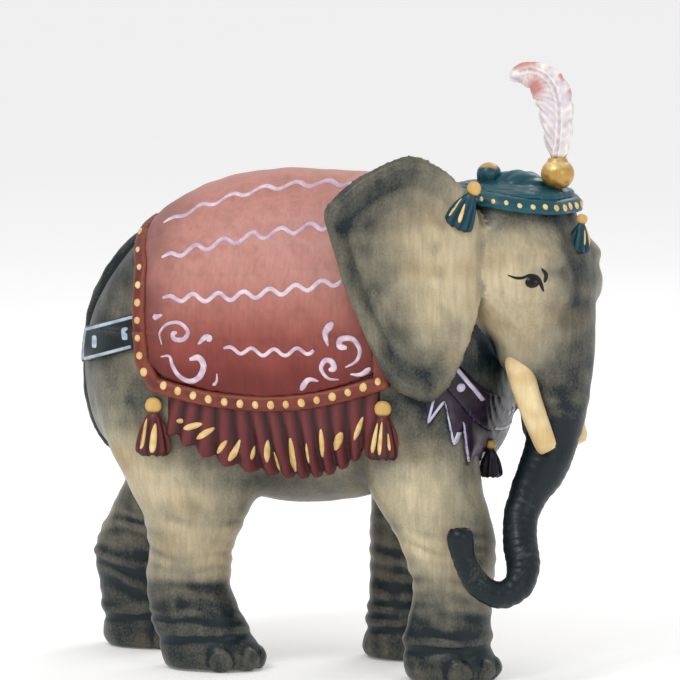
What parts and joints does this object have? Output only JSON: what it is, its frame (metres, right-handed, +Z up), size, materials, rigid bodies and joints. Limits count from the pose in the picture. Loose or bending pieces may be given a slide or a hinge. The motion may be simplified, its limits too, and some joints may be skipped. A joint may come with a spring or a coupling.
{
  "type": "carved wooden elephant figurine",
  "caption": "Carved and painted wooden elephant standing in parade dress, with saddle blanket, harness, head cap and plume.",
  "frame": {"origin": "middle of the figure's bounding box in X and Y, at the level of the flat soles", "axes": "+X towards the head, +Y towards the animal's left side, +Z up"},
  "size_m": [0.1798, 0.0896, 0.2004],
  "materials": {
    "hide_paint": "painted lime wood, warm beige with dark blue-green shading, satin varnish",
    "tusk_paint": "honey ivory paint over wood, satin",
    "cloth_paint": "dusty rose to maroon paint over carved wood, lilac-white brush strokes",
    "border_paint": "terracotta paint with cream-gold dots",
    "fringe_paint": "maroon paint with cream-gold strokes",
    "tassel_paint": "maroon paint with gold knot",
    "strap_paint": "black-green paint with pale edge lines",
    "collar_paint": "purple-black paint with pale outlines",
    "cap_paint": "teal paint with cream dots",
    "gold_paint": "antique gold paint",
    "plume_paint": "ivory white and coral paint",
    "beech": "plain hardwood dowel"
  },
  "bodies": {
    "root": {"torso": "hide_paint", "head": "hide_paint", "leg_hind_right": "hide_paint", "leg_front_right": "hide_paint", "leg_front_left": "hide_paint", "leg_hind_left": "hide_paint", "trunk": "hide_paint", "tusk_right": "tusk_paint", "tusk_left": "tusk_paint", "ear_right": "hide_paint", "ear_left": "hide_paint", "tail": "hide_paint", "saddle_blanket": "cloth_paint", "blanket_border": "border_paint", "fringe_right": "fringe_paint", "fringe_left": "fringe_paint", "tassel_rear_right": "tassel_paint", "tassel_rear_left": "tassel_paint", "tassel_front_right": "tassel_paint", "tassel_front_left": "tassel_paint", "crupper_strap": "strap_paint", "breast_collar": "collar_paint", "collar_pendants": "collar_paint", "collar_tassel": "collar_paint", "head_cap": "cap_paint", "cap_rim": "cap_paint", "cap_crest": "cap_paint", "cap_knob": "gold_paint", "forehead_tassel": "cap_paint", "side_tassel_right": "cap_paint", "side_tassel_left": "cap_paint", "gold_bead": "gold_paint", "plume": "plume_paint", "dowel_neck": "beech", "dowel_trunk": "beech", "dowel_ear_right": "beech", "dowel_ear_left": "beech", "pin_plume": "beech", "dowel_leg_hind_right": "beech", "dowel_leg_front_right": "beech", "dowel_leg_front_left": "beech", "dowel_leg_hind_left": "beech"}
  },
  "joints": []
}
